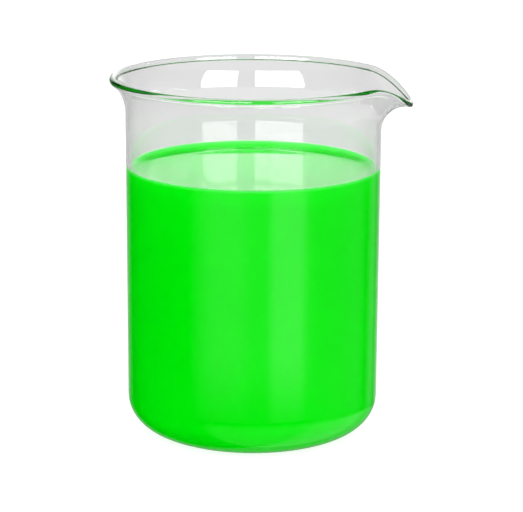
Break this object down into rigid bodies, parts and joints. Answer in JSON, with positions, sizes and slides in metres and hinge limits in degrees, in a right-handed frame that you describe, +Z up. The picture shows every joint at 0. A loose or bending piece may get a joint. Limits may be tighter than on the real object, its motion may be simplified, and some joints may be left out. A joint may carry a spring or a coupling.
{
  "type": "laboratory beaker",
  "caption": "Low-form glass laboratory beaker with a flared, beaded rim and a pouring spout, partly filled with an opaque bright green liquid.",
  "frame": {"origin": "centre of the flat base, on the beaker's axis", "axes": "+Z up along the beaker's axis, +X towards the pouring spout"},
  "size_m": [0.1065, 0.101, 0.1272],
  "materials": {
    "clear_glass": "gloss",
    "green_liquid": "gloss"
  },
  "bodies": {
    "root": {"glass_beaker": "clear_glass", "green_liquid": "green_liquid"}
  },
  "joints": []
}
